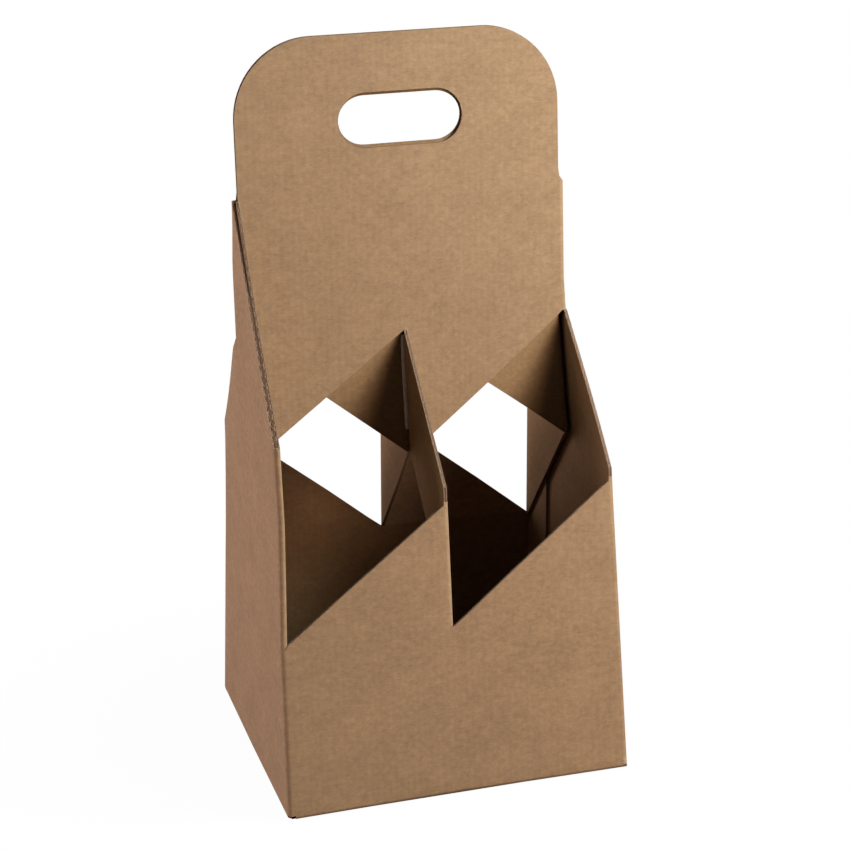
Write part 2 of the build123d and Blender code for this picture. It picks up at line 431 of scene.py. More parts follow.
def flutes_passed(tree, flute, pitch):
    """A socket with the number of flutes that a curve has crossed at each of its points."""
    index = add_node(tree, "GeometryNodeInputIndex")
    before = add_node(tree, "ShaderNodeMath", {"operation": "SUBTRACT"}, {1: 1.0}, {0: index.outputs[0]})
    place = add_node(tree, "GeometryNodeInputPosition")
    place_before = add_node(
        tree,
        "GeometryNodeFieldAtIndex",
        {"data_type": "FLOAT_VECTOR", "domain": "POINT"},
        links={"Index": before.outputs[0], "Value": place.outputs[0]},
    )
    step = add_node(
        tree,
        "ShaderNodeVectorMath",
        {"operation": "SUBTRACT"},
        links={0: place.outputs[0], 1: place_before.outputs[0]},
    )
    across_flutes = add_node(
        tree,
        "ShaderNodeVectorMath",
        {"operation": "CROSS_PRODUCT"},
        links={0: step.outputs[0], 1: flute},
    )
    step_length = add_node(
        tree, "ShaderNodeVectorMath", {"operation": "LENGTH"}, links={0: across_flutes.outputs[0]}
    )
    on_curve = add_node(tree, "GeometryNodeCurveOfPoint", links={"Point Index": index.outputs[0]})
    not_first = add_node(
        tree,
        "ShaderNodeMath",
        {"operation": "GREATER_THAN"},
        {1: 0.5},
        {0: on_curve.outputs["Index in Curve"]},
    )
    counted = add_node(
        tree,
        "ShaderNodeMath",
        {"operation": "MULTIPLY"},
        links={0: step_length.outputs["Value"], 1: not_first.outputs[0]},
    )
    along = add_node(
        tree,
        "GeometryNodeAccumulateField",
        {"data_type": "FLOAT", "domain": "POINT"},
        links={"Value": counted.outputs[0], "Group ID": on_curve.outputs["Curve Index"]},
    )
    passed = add_node(
        tree, "ShaderNodeMath", {"operation": "DIVIDE"}, links={0: along.outputs["Leading"], 1: pitch}
    )
    return passed.outputs[0]


print("flutes every", round(FLUTE_PITCH / MM, 1), "mm")

# %% [markdown]
# A sine of the flutes passed moves each point across the channel, from one liner to the other.

# %% The swing from liner to liner
FLUTE_HEIGHT = 0.62 * MM


def swing_across(tree, passed, outward, height):
    """A socket with the move of a curve's point across the channel, one wave for each flute."""
    angle = add_node(tree, "ShaderNodeMath", {"operation": "MULTIPLY"}, {1: math.tau}, {0: passed})
    wave = add_node(tree, "ShaderNodeMath", {"operation": "SINE"}, links={0: angle.outputs[0]})
    half_height = add_node(tree, "ShaderNodeMath", {"operation": "MULTIPLY"}, {1: 0.5}, {0: height})
    swing = add_node(
        tree,
        "ShaderNodeMath",
        {"operation": "MULTIPLY"},
        links={0: wave.outputs[0], 1: half_height.outputs[0]},
    )
    tangent = add_node(tree, "GeometryNodeInputTangent")
    sideways = add_node(
        tree,
        "ShaderNodeVectorMath",
        {"operation": "CROSS_PRODUCT"},
        links={0: tangent.outputs[0], 1: outward},
    )
    swung = add_node(
        tree,
        "ShaderNodeVectorMath",
        {"operation": "SCALE"},
        links={0: sideways.outputs[0], "Scale": swing.outputs[0]},
    )
    return swung.outputs[0]


print("the fluted paper swings", round(FLUTE_HEIGHT / MM, 2), "mm")

# %% [markdown]
# The tree samples the lines, swings them and sweeps a thin upright strip of paper along them.

# %% The fluted paper as a node tree
FLUTED_PAPER = 0.3 * MM
STEPS_PER_FLUTE = 8
LIP_TO_PAPER = 0.05 * MM  # how far the fluted paper's edge lies below the liners' edges


def flute_tree(material):
    """A node tree that sweeps a wavy strip of paper along lines."""
    tree = bpy.data.node_groups.new("fluted_paper", "GeometryNodeTree")
    sizes = (
        ("Pitch", FLUTE_PITCH),
        ("Height", FLUTE_HEIGHT),
        ("Paper", FLUTED_PAPER),
        ("Depth", 2 * (CHANNEL_DEPTH - LIP_TO_PAPER)),
        ("Step", FLUTE_PITCH / STEPS_PER_FLUTE),
    )
    tree.interface.new_socket("Lines", in_out="INPUT", socket_type="NodeSocketGeometry")
    for name, value in sizes:
        socket = tree.interface.new_socket(name, in_out="INPUT", socket_type="NodeSocketFloat")
        socket.default_value = value
    tree.interface.new_socket("Paper", in_out="OUTPUT", socket_type="NodeSocketGeometry")
    given = add_node(tree, "NodeGroupInput")
    vectors = {
        name: add_node(
            tree, "GeometryNodeInputNamedAttribute", {"data_type": "FLOAT_VECTOR"}, {"Name": name}
        ).outputs["Attribute"]
        for name in ("outward", "flute")
    }

    curves = add_node(tree, "GeometryNodeMeshToCurve", links={0: given.outputs["Lines"]})
    stepped = add_node(
        tree,
        "GeometryNodeResampleCurve",
        {"mode": "LENGTH"},
        links={"Curve": curves.outputs[0], "Length": given.outputs["Step"]},
    )
    passed = flutes_passed(tree, vectors["flute"], given.outputs["Pitch"])
    swing = swing_across(tree, passed, vectors["outward"], given.outputs["Height"])
    waved = add_node(
        tree, "GeometryNodeSetPosition", links={"Geometry": stepped.outputs[0], "Offset": swing}
    )
    upright = add_node(
        tree,
        "GeometryNodeSetCurveNormal",
        {"mode": "FREE"},
        links={"Curve": waved.outputs[0], "Normal": vectors["outward"]},
    )
    strip_section = add_node(
        tree,
        "GeometryNodeCurvePrimitiveQuadrilateral",
        links={"Width": given.outputs["Paper"], "Height": given.outputs["Depth"]},
    )
    strip = add_node(
        tree,
        "GeometryNodeCurveToMesh",
        values={"Fill Caps": True},
        links={"Curve": upright.outputs[0], "Profile Curve": strip_section.outputs[0]},
    )
    real = add_node(tree, "GeometryNodeRealizeInstances", links={0: strip.outputs[0]})
    papered = add_node(
        tree,
        "GeometryNodeSetMaterial",
        values={"Material": material},
        links={"Geometry": real.outputs[0]},
    )
    add_node(tree, "NodeGroupOutput", links={0: papered.outputs[0]})
    return tree


print("the wave takes", STEPS_PER_FLUTE, "steps to a flute")

# %% [markdown]
# Card that stands by itself is never quite straight. The next cells describe this carrier's
# stance, one habit at a time. Each is a function that tells how far a place of the true folded
# shape moves, so every mesh bends in the same way, and plies and papers that touch stay together.
# Two helpers say how a habit comes in and fades out, and a third how far a place lies to each side.

# %% Helpers for the bends
HALF_DEPTH = box_high.y
HALF_WIDTH = box_high.x


def rising(value, low, high):
    """0 below low, 1 above high, and even in between."""
    return np.clip((value - low) / (high - low), 0.0, 1.0)


def fading(value, low, high):
    """1 below low, 0 above high, and even in between."""
    return 1 - rising(value, low, high)


def outwards(x, y):
    """How far places lie towards the back, the front, the left and the right, 0 to 1."""
    back, front = rising(y, 0.0, HALF_DEPTH), rising(-y, 0.0, HALF_DEPTH)
    left, right = rising(-x, 0.0, HALF_WIDTH), rising(x, 0.0, HALF_WIDTH)
    return back, front, left, right


print("half of the carrier is", round(HALF_WIDTH / MM, 1), "by", round(HALF_DEPTH / MM, 1), "mm")

# %% [markdown]
# The carrier is racked: seen from above, its back wall stands farther right than its front wall,
# and the dividers lean with it. The front wall leans back from its foot, which stands forward.
# The feet are spread, and the back left one stands slightly off the floor.

# %% Racking and feet
RACK = 14.7 * MM  # how far right the back wall stands of the front wall, at the height below
RACK_HEIGHT = 120 * MM
RACK_GROWTH = 0.026  # added to the racking for each unit of height
FRONT_LEAN = 0.06  # how far the front wall leans back for each unit of height
FOOT_HEIGHT = 150 * MM  # the feet are spread and lifted below this height
LEFT_FOOT_OUT = 3.0 * MM
LEFT_FOOT_FORWARD = 3.0 * MM
RIGHT_FOOT_OUT = 3.6 * MM
BACK_FOOT_OUT = 4.2 * MM
BACK_FOOT_LIFT = 3.8 * MM


def racking(x, y, z):
    """How far places move because the carrier is racked and its front wall leans."""
    back, front, _, _ = outwards(x, y)
    rack = RACK + RACK_GROWTH * (z - RACK_HEIGHT)
    return rack / 2 * (back - front), FRONT_LEAN * (z - RACK_HEIGHT) * front, 0.0


def feet(x, y, z):
    """How far the four feet are spread, pushed forward and lifted."""
    back, front, left, right = outwards(x, y)
    backward = (1 + back - front) / 2
    foot = fading(z, 0.0, FOOT_HEIGHT)
    left_out = LEFT_FOOT_OUT + (BACK_FOOT_OUT - LEFT_FOOT_OUT) * backward
    moved_x = foot * (RIGHT_FOOT_OUT * right * (1 - backward) - left_out * left)
    return moved_x, -LEFT_FOOT_FORWARD * left * front * foot, BACK_FOOT_LIFT * left * backward * foot


print("racking at the foot", round((RACK - RACK_GROWTH * RACK_HEIGHT) / MM, 1), "mm")

# %% [markdown]
# The handle sits a little to the left, and the left side wall bends in a slack S behind it. Above
# the front wall's low edge the front left corner is a tight fold of two plies. It leans in there,
# and it is turned a little to the left, so that it takes more of the left lamp's light.

# %% Handle and left wall
LOW_EDGE = 88 * MM
HANDLE_SHIFT = -3.7 * MM
HANDLE_LEAN = -0.013
HANDLE_HEIGHT = 250 * MM
SLACK_RISE = (100 * MM, 220 * MM)  # the handle's shift and the bulge come in between these heights
BELOW_SHOULDERS = (262 * MM, 284 * MM)  # the strip in which bends give way to those of the shoulders
LEFT_BULGE = 2.0 * MM  # how far the left wall's back half stands out
BULGE_START = (-10.0 * MM, 8.0 * MM)  # from front to back it comes in here
BULGE_FADE = 0.35  # how much of it is lost towards the back
LEFT_POST_IN = 1.6 * MM  # how far the front left corner leans in
LEFT_POST_TURN = 0.6 * MM  # how far that corner's inner side stands forward of its outer side
LEFT_POST_WIDTH = 3.5 * MM
POST_REACH = 3.85 * MM  # card farther than this from the left wall's face doesn't turn
POST_TURN_TOP = 112 * MM  # from this height up the corner has its full turn


def handle_and_left_wall(x, y, z):
    """How far the handle leans to the left and the left wall's back half stands out."""
    back, front, _, _ = outwards(x, y)
    slack = rising(z, *SLACK_RISE)
    slack = slack * slack * (3 - 2 * slack)
    handle = HANDLE_SHIFT + HANDLE_LEAN * (z - HANDLE_HEIGHT)
    bulge = LEFT_BULGE * rising(y, *BULGE_START) * rising(-x, HALF_WIDTH / 2, HALF_WIDTH)
    bulge *= (1 - BULGE_FADE * back) * fading(z, *BELOW_SHOULDERS)
    return (handle * (1 - back - front) - bulge) * slack, 0.0, 0.0


def left_post(x, y, z):
    """How far the tight fold at the front left corner leans in and turns."""
    _, front, left, _ = outwards(x, y)
    from_left = x + HALF_WIDTH
    inwards = LEFT_POST_IN * left * front * rising(z, LOW_EDGE, FOOT_HEIGHT)
    turned = (from_left < POST_REACH) * rising(-y, HALF_DEPTH - LEFT_POST_WIDTH, HALF_DEPTH)
    turned *= rising(from_left, 0.0, LEFT_POST_WIDTH) * rising(z, LOW_EDGE, POST_TURN_TOP)
    return inwards, -LEFT_POST_TURN * turned, 0.0


print("the handle sits", round(-HANDLE_SHIFT / MM, 1), "mm to the left")

# %% [markdown]
# Beside the handle's foot the right wall stands out and sags. The back wall's right end hangs
# lower than its twin in front.

# %% Right wall
RIGHT_BACK_OUT = 2.4 * MM
RIGHT_BACK_SAG = 5.0 * MM
RIGHT_FRONT_OUT = 0.6 * MM
RIGHT_BULGE = 4.4 * MM
RIGHT_BULGE_SAG = 4.0 * MM
RIGHT_BULGE_MIDDLE, RIGHT_BULGE_TOP = 160 * MM, 240 * MM


def right_wall(x, y, z):
    """How far the right wall stands out and sags."""
    back, front, _, right = outwards(x, y)
    bulge = (1 - back - front) * right * rising(z, 0.0, RIGHT_BULGE_MIDDLE)
    bulge *= fading(z, RIGHT_BULGE_MIDDLE, RIGHT_BULGE_TOP)
    moved_x = right * (RIGHT_BACK_OUT * back + RIGHT_FRONT_OUT * front) + RIGHT_BULGE * bulge
    sag = RIGHT_BACK_SAG * right * back * rising(z, 0.0, LOW_EDGE) + RIGHT_BULGE_SAG * right * bulge
    return moved_x, 0.0, -sag


print("the right wall stands out", round(RIGHT_BULGE / MM, 1), "mm beside the handle")

# %% [markdown]
# The shoulders rise towards their outer ends, and the right one's corner slants down again. The
# handle's two plies stand slightly apart at the top, and the back one hangs lower beside the
# dividers. The short cuts at the feet of the saw teeth are pressed nearly shut.

# %% Shoulders, plies and short cuts
SHOULDER_LIFT = 2.2 * MM
SHOULDER_INSIDE, SHOULDER_CORNER = 78 * MM, 84.9 * MM
SHOULDER_SLANT = 3.4 * MM  # how far the right shoulder's outer corner lies lower than its inner one
LIFT_FADE = (292 * MM, 315 * MM)  # above the shoulders the lift fades out
PLY_GAP_GROWTH = 0.3 * MM  # each of the handle's plies stands off this far at the top
PLY_GAP_RISE = (285 * MM, 330 * MM)
BACK_PLY_LOWER = 0.9 * MM  # how far the back ply hangs below the front one
BACK_PLY_FOOT = (40 * MM, 100 * MM)  # with rising height this comes in here
BACK_PLY_TOP = (230 * MM, 270 * MM)  # and fades out here
BACK_PLY_DEPTH = (3 * MM, 14 * MM)  # away from the handle, along the back divider, it fades out here
SHORT_CUT = (88.0 * MM, 89.0 * MM)  # the heights of a short cut's lips
SHORT_CUT_CLOSING = 0.85 * MM
CLOSING_TOP = 112 * MM  # from this height up nothing comes down with the upper lip


def shoulders(x, y, z):
    """How far the shoulders rise, and how far the right one's corner slants down."""
    near = rising(z, *BELOW_SHOULDERS) * fading(z, *LIFT_FADE)
    lift = SHOULDER_LIFT * rising(np.abs(x), SHOULDER_INSIDE, SHOULDER_CORNER)
    slant = SHOULDER_SLANT * rising(x, SHOULDER_CORNER, HALF_WIDTH)
    return 0.0, 0.0, (lift - slant) * near


def plies(x, y, z):
    """How far the handle's plies stand apart, and how far the back one hangs lower."""
    apart = np.sign(y) * PLY_GAP_GROWTH * rising(z, *PLY_GAP_RISE)
    hanging = (y > 0) * fading(y, *BACK_PLY_DEPTH)
    hanging *= rising(z, *BACK_PLY_FOOT) * fading(z, *BACK_PLY_TOP)
    return 0.0, apart, -BACK_PLY_LOWER * hanging


def short_cuts(x, y, z):
    """How far the upper lips of the short cuts come down."""
    closing = rising(z, *SHORT_CUT) * fading(z, SHORT_CUT[1], CLOSING_TOP)
    return 0.0, 0.0, -SHORT_CUT_CLOSING * closing


print("a short cut keeps", round((SHORT_CUT[1] - SHORT_CUT[0] - SHORT_CUT_CLOSING) / MM, 2), "mm")

# %% [markdown]
# The hand hole was cut a little to the right. The back ply's hole doesn't lie quite behind the
# front ply's, so its edge shows inside it all round.

# %% Hand hole
HOLE_RIGHT, HOLE_UP = 0.75 * MM, 0.3 * MM  # how far the hand hole sits from the handle's middle
HOLE_MIDDLE = 329.5 * MM
HOLE_HALF_STRAIGHT = 18.5 * MM
HOLE_RADIUS = 14.0 * MM
HOLE_FADE = 10 * MM  # the card round the hole gives way over this distance
BACK_HOLE_SHORTER = 0.6 * MM  # how much tighter the back ply's hole is at each end
BACK_HOLE_LOWER = 1.7 * MM  # at its top
BACK_HOLE_HIGHER = 1.3 * MM  # at its foot


def hand_hole(x, y, z):
    """How far the edges of the hand hole lie from their true places."""
    sideways = x - np.clip(x, -HOLE_HALF_STRAIGHT, HOLE_HALF_STRAIGHT)
    upward = z - HOLE_MIDDLE
    near = fading(np.hypot(sideways, upward), HOLE_RADIUS, HOLE_RADIUS + HOLE_FADE)
    tighter = (y > 0) * near
    in_x = BACK_HOLE_SHORTER * np.clip(sideways / HOLE_RADIUS, -1.0, 1.0)
    in_z = np.where(upward > 0, BACK_HOLE_LOWER, BACK_HOLE_HIGHER)
    in_z = in_z * np.clip(upward / HOLE_RADIUS, -1.0, 1.0)
    return near * HOLE_RIGHT - tighter * in_x, 0.0, near * HOLE_UP - tighter * in_z


print("hand hole", round(2 * (HOLE_HALF_STRAIGHT + HOLE_RADIUS) / MM), "mm long")

# %% [markdown]
# One function adds all the habits up. At the end the whole is turned, so that the racking is shared
# out evenly between the front and the side walls.

# %% The slack bend of the card
WALL_HABITS = (racking, feet, handle_and_left_wall, left_post, right_wall)
SMALL_HABITS = (shoulders, plies, short_cuts, hand_hole)


def bent(places):
    """Where the true folded shape's places go when the card stands slack."""
    moved = places.copy()
    for habit in WALL_HABITS + SMALL_HABITS:
        for axis, move in enumerate(habit(*places.T)):
            moved[:, axis] += move
    return moved @ np.array(FRONT_VIEW_TURN.to_3x3().transposed())


def bend_mesh(mesh):
    """Bends a mesh with the carrier."""
    places = np.empty(len(mesh.vertices) * 3)
    mesh.vertices.foreach_get("co", places)
    mesh.vertices.foreach_set("co", bent(places.reshape(-1, 3)).ravel())
    mesh.update()


for x, y in ROUND_THE_MIDDLE:
    foot_place = bent(np.array([[x * HALF_WIDTH, y * HALF_DEPTH, 0.0]]))[0]
    print("foot", x, y, "goes to", [round(float(c) / MM, 1) for c in foot_place])

# %% [markdown]
# Only vertices can move, so the large flat faces are first cut by planes a few millimetres apart.

# %% Cut the card finely, bend it and shade it
GRID = 8.0 * MM
SMOOTH_ANGLE = math.radians(28)

for axis in range(3):
    direction = Vector((0, 0, 0))
    direction[axis] = 1.0
    count = int((box_high[axis] - box_low[axis]) / GRID)
    for i in range(1, count + 1):
        bmesh.ops.bisect_plane(
            card,
            geom=card.verts[:] + card.edges[:] + card.faces[:],
            dist=MERGE_DISTANCE,
            plane_co=direction * (box_low[axis] + i * GRID),
            plane_no=direction,
        )
bmesh.ops.triangulate(card, faces=[face for face in card.faces if len(face.verts) > 4])
card_mesh = bpy.data.meshes.new("carrier_card")
card.to_mesh(card_mesh)
bend_mesh(card_mesh)
card_mesh.polygons.foreach_set("use_smooth", [True] * len(card_mesh.polygons))
card_mesh.set_sharp_from_angle(angle=SMOOTH_ANGLE)
print("card", len(card_mesh.vertices), "vertices", len(card_mesh.polygons), "faces")

# %% [markdown]
# Every pattern below is a noise in the object's own millimetres. One helper stretches the noise
# by its grain size along the level directions and up. The offset keeps two patterns apart.


# %% Helper for patterns
def grain(tree, size_level, size_up, detail=2.0, offset=0.0):
    """A noise whose grains measure size_level by size_up, in metres."""
    place = add_node(tree, "ShaderNodeTexCoord")
    scaled = add_node(
        tree,
        "ShaderNodeMapping",
        values={
            "Location": (offset, offset, offset),
            "Scale": (1 / size_level, 1 / size_level, 1 / size_up),
        },
        links={"Vector": place.outputs["Object"]},
    )
    noise = add_node(
        tree,
        "ShaderNodeTexNoise",
        values={"Scale": 1.0, "Detail": detail, "Roughness": 0.6},
        links={"Vector": scaled.outputs["Vector"]},
    )
    return noise.outputs["Fac"]


# %% [markdown]
# Kraft liner is unbleached brown paper, straight from the paper mill. Its fibres are 1 to 3 mm
# long and lie across the flutes. They are far thinner than a pixel, so they are drawn coarser, as
# level streaks half a millimetre to a millimetre thick, lighter and darker. Below the streaks are
# blotches of 3 to 4 mm and soft clouds of about 20 mm, and single fibres stand out as flecks. Each
# pattern takes a range of the noise's values and turns it into a change of brightness.

# %% Tones of the kraft liner
FIBRE = (3.2 * MM, 0.9 * MM)
FINE_FIBRE = (1.1 * MM, 0.5 * MM)
BLOTCH = (3.6 * MM, 2.6 * MM)
CLOUD = (24 * MM, 17 * MM)
FLECK = (1.8 * MM, 0.55 * MM)
USUAL = (0.3, 0.7)  # most of a noise's values lie in this range
RARE_LIGHT = (0.66, 0.76)  # few values are as high as this
RARE_DARK = (0.68, 0.78)
KRAFT_PATTERNS = (  # grain, detail, offset, range of the noise, change of brightness over it
    (FIBRE, 3.0, 0.0, USUAL, (-0.065, 0.065)),
    (FINE_FIBRE, 2.0, 7.0, USUAL, (-0.075, 0.075)),
    (BLOTCH, 2.0, 13.0, USUAL, (-0.1, 0.1)),
    (CLOUD, 2.0, 3.0, USUAL, (-0.06, 0.06)),
    (FLECK, 2.0, 11.0, RARE_LIGHT, (0.0, 0.18)),
    (FLECK, 2.0, 19.0, RARE_DARK, (0.0, -0.18)),
)


def kraft_tone(tree):
    """A brightness near 1 for each place of the paper."""
    tone = None
    for size, detail, offset, (low, high), (at_low, at_high) in KRAFT_PATTERNS:
        change = add_node(
            tree,
            "ShaderNodeMapRange",
            values={"From Min": low, "From Max": high, "To Min": at_low, "To Max": at_high},
            links={"Value": grain(tree, *size, detail=detail, offset=offset)},
        )
        total = add_node(
            tree, "ShaderNodeMath", {"operation": "ADD"}, {0: 1.0}, {1: change.outputs["Result"]}
        )
        if tone is not None:
            tree.links.new(tone, total.inputs[0])
        tone = total.outputs[0]
    return tone


print(len(KRAFT_PATTERNS), "patterns in the kraft liner")

# %% [markdown]
# Where the card is folded, the press has crushed it along a line and its fibres are stretched.
# The fold's colour holds painted shade: it is darker in the middle, most of all on the front wall's
# side. It also holds painted light: it is a little lighter on the side wall's side. It is found by
# the face's direction in the object's own axes: the walls face one axis, and only a fold faces
# between two of them.

# %% Creases
CREASE_START = 0.985  # the largest part of the direction along one axis, at a fold's edge
CREASE_MIDDLE = 0.74
# Painted shade in the folds, and painted light on their side wall's side.
CREASE_SHADE = 0.13
SIDES_MEET = (-0.1, 0.3)  # the x part of the direction less its y part, from front side to side wall
FRONT_SIDE, PAINTED_LIGHT_SIDE = 1.2, -0.4  # the share of the darkening on each


def crease(tree):
    """Painted shade above 0 in a fold, painted light below 0 on its side wall's side, 0 if flat."""
    place = add_node(tree, "ShaderNodeTexCoord")
    size = add_node(
        tree, "ShaderNodeVectorMath", {"operation": "ABSOLUTE"}, links={0: place.outputs["Normal"]}
    )
    parts = add_node(tree, "ShaderNodeSeparateXYZ", links={0: size.outputs["Vector"]})
    level = add_node(
        tree,
        "ShaderNodeMath",
        {"operation": "MAXIMUM"},
        links={0: parts.outputs["X"], 1: parts.outputs["Y"]},
    )
    largest = add_node(
        tree,
        "ShaderNodeMath",
        {"operation": "MAXIMUM"},
        links={0: level.outputs[0], 1: parts.outputs["Z"]},
    )
    depth = add_node(
        tree,
        "ShaderNodeMapRange",
        values={"From Min": CREASE_START, "From Max": CREASE_MIDDLE, "To Min": 0.0, "To Max": 1.0},
        links={"Value": largest.outputs[0]},
    )
    towards_side = add_node(
        tree,
        "ShaderNodeMath",
        {"operation": "SUBTRACT"},
        links={0: parts.outputs["X"], 1: parts.outputs["Y"]},
    )
    side = add_node(
        tree,
        "ShaderNodeMapRange",
        values={
            "From Min": SIDES_MEET[0],
            "From Max": SIDES_MEET[1],
            "To Min": FRONT_SIDE,
            "To Max": PAINTED_LIGHT_SIDE,
        },
        links={"Value": towards_side.outputs[0]},
    )
    # Painted shade in the fold, painted light on its side wall's side.
    fold_paint = add_node(
        tree,
        "ShaderNodeMath",
        {"operation": "MULTIPLY"},
        links={0: depth.outputs["Result"], 1: side.outputs["Result"]},
    )
    return fold_paint.outputs[0]


print("a fold is darker by", round(FRONT_SIDE * CREASE_SHADE, 2), "at most")

# %% [markdown]
# The liner's bump has three parts: the fibres, the slight unevenness of a panel that has been
# handled, and the washboard of the flutes under the paper, which repeats every 3.2 mm.

# %% Bump of the kraft liner
FIBRE_RELIEF = 0.03 * MM
WASHBOARD_RELIEF = 0.012 * MM
PANEL_RELIEF = 0.5 * MM
PANEL = (70 * MM, 60 * MM)
SIDE_WALL = 0.7  # a face whose direction has a larger x part belongs to a side wall


def washboard(tree):
    """A socket that rises and falls over each flute, -1 to 1."""
    place = add_node(tree, "ShaderNodeTexCoord")
    here = add_node(tree, "ShaderNodeSeparateXYZ", links={0: place.outputs["Object"]})
    facing = add_node(tree, "ShaderNodeSeparateXYZ", links={0: place.outputs["Normal"]})
    x_part = add_node(tree, "ShaderNodeMath", {"operation": "ABSOLUTE"}, links={0: facing.outputs["X"]})
    sideways = add_node(
        tree, "ShaderNodeMath", {"operation": "GREATER_THAN"}, {1: SIDE_WALL}, {0: x_part.outputs[0]}
    )
    along = add_node(
        tree,
        "ShaderNodeMix",
        {"data_type": "FLOAT"},
        links={"Factor": sideways.outputs[0], "A": here.outputs["X"], "B": here.outputs["Y"]},
    )
    angle = add_node(
        tree,
        "ShaderNodeMath",
        {"operation": "MULTIPLY"},
        {1: math.tau / FLUTE_PITCH},
        {0: along.outputs["Result"]},
    )
    wave = add_node(tree, "ShaderNodeMath", {"operation": "SINE"}, links={0: angle.outputs[0]})
    return wave.outputs[0]


def kraft_bump(tree):
    """The paper's relief as a normal."""
    normal = None
    reliefs = (
        (grain(tree, *PANEL, detail=1.0, offset=31.0), PANEL_RELIEF),
        (washboard(tree), WASHBOARD_RELIEF),
        (grain(tree, *FINE_FIBRE, detail=3.0, offset=23.0), FIBRE_RELIEF),
    )
    for height, distance in reliefs:
        bump = add_node(
            tree, "ShaderNodeBump", values={"Distance": distance}, links={"Height": height}
        )
        if normal is not None:
            tree.links.new(normal, bump.inputs["Normal"])
        normal = bump.outputs["Normal"]
    return normal


print("the flutes raise the paper by", round(WASHBOARD_RELIEF / MM, 3), "mm")

# %% [markdown]
# Uncoated liner has no gloss. The outer one is kraft, and the inner one is testliner, made from
# used paper, which looks browner and duller. The cells of this carrier are nearly black inside.
# Card that is seen by a bounced ray has a darker colour than card that is seen by the camera,
# which paints deeper shade into the cells. Lit faces stay as bright as written.

# %% Kraft liner
KRAFT = "#ab8b6d"
TESTLINER = "#9e7d5b"  # the inner liner
# Painted shade: bounced light sees the card darker, so the cells come out darker.
BOUNCE_SHADE_SHARE = 0.4  # how much of its colour the card shows to bounced light
LINER_ROUGHNESS = 0.88
PAPER_SHEEN = 0.15  # the specular level of uncoated paper


def tinted(tree, hex_colour, tone):
    """A colour times a brightness, darker for bounced light: painted shade for the cells."""
    path = add_node(tree, "ShaderNodeLightPath")
    bounce_shade = add_node(
        tree,
        "ShaderNodeMapRange",
        values={"From Min": 0.0, "From Max": 1.0, "To Min": 1.0, "To Max": BOUNCE_SHADE_SHARE},
        links={"Value": path.outputs["Is Diffuse Ray"]},
    )
    brightness = add_node(
        tree,
        "ShaderNodeMath",
        {"operation": "MULTIPLY"},
        links={0: tone, 1: bounce_shade.outputs["Result"]},
    )
    shown = add_node(
        tree,
        "ShaderNodeVectorMath",
        {"operation": "SCALE"},
        {0: linear(hex_colour)[:3]},
        {"Scale": brightness.outputs[0]},
    )
    return shown.outputs["Vector"]


def kraft_liner(name, hex_colour):
    """Uncoated brown kraft paper with level fibre streaks, and painted shade and light in folds."""
    material, output = new_material(name)
    tree = material.node_tree
    # Painted shade in the folds, and painted light on their side wall's side.
    fold_tone = add_node(
        tree,
        "ShaderNodeMath",
        {"operation": "MULTIPLY_ADD"},
        {1: -CREASE_SHADE, 2: 1.0},
        {0: crease(tree)},
    )
    tone = add_node(
        tree,
        "ShaderNodeMath",
        {"operation": "MULTIPLY"},
        links={0: kraft_tone(tree), 1: fold_tone.outputs[0]},
    )
    surface = add_node(
        tree,
        "ShaderNodeBsdfPrincipled",
        values={"Roughness": LINER_ROUGHNESS, "Specular IOR Level": PAPER_SHEEN},
        links={"Base Color": tinted(tree, hex_colour, tone.outputs[0]), "Normal": kraft_bump(tree)},
    )
    tree.links.new(surface.outputs[0], output.inputs["Surface"])
    return material


outer_liner = kraft_liner("kraft_liner_uncoated", KRAFT)
inner_liner = kraft_liner("brown_testliner_uncoated", TESTLINER)
print("liners", outer_liner.name, inner_liner.name)

# %% [markdown]
# The cut edge was made by a steel rule that squeezes the card as it cuts. The liners' edges and
# the fluted paper are raw, with ticks of light and shade where the flutes are crushed. A tick is
# drawn 0.7 mm wide, more than a pixel, so that it shows. The hollows between the papers are the
# same paper in shade, and the lips beside a seam are darker still, as painted shade of the seam.

# %% Cut edge
RAW_EDGE = "#9a7f6b"
HOLLOW_SHADE = "#876d5c"
SEAM_SHADE = "#785a46"
TICK = (0.7 * MM, 0.7 * MM)
TICK_RANGE = (0.35, 0.65)  # the noise values over which a tick goes from dark to light
EDGE_ROUGHNESS = 0.95


def cut_card(name, hex_colour, contrast):
    """The raw edge of die-cut card, with ticks of light and shade."""
    material, output = new_material(name)
    tree = material.node_tree
    ticks = add_node(
        tree,
        "ShaderNodeMapRange",
        values={
            "From Min": TICK_RANGE[0],
            "From Max": TICK_RANGE[1],
            "To Min": 1.0 - contrast,
            "To Max": 1.0 + contrast,
        },
        links={"Value": grain(tree, *TICK, offset=5.0)},
    )
    surface = add_node(
        tree,
        "ShaderNodeBsdfPrincipled",
        values={"Roughness": EDGE_ROUGHNESS, "Specular IOR Level": PAPER_SHEEN},
        links={"Base Color": tinted(tree, hex_colour, ticks.outputs["Result"])},
    )
    tree.links.new(surface.outputs[0], output.inputs["Surface"])
    return material


raw_edge = cut_card("corrugated_edge_die_cut", RAW_EDGE, contrast=0.3)
hollow_edge = cut_card("flute_hollow_in_shade", HOLLOW_SHADE, contrast=0.15)
# The lips beside a seam get painted shade.
seam_shade_edge = cut_card("seam_lip_painted_shade", SEAM_SHADE, contrast=0.3)
print("edges", raw_edge.name, hollow_edge.name, seam_shade_edge.name)

# %% [markdown]
# The card piece takes the papers in the order of the face labels: outer and inner liner, raw edge,
# hollow and seam.

# %% Card piece
for material in (outer_liner, inner_liner, raw_edge, hollow_edge, seam_shade_edge):
    card_mesh.materials.append(material)
card_piece = bpy.data.objects.new("carrier_card", card_mesh)
bpy.context.collection.objects.link(card_piece)
print("card piece with", len(card_mesh.materials), "materials")

# %% [markdown]
# The node tree's sizes are set on the modifier before it first runs. Its result becomes a plain
# mesh, which bends with the card.

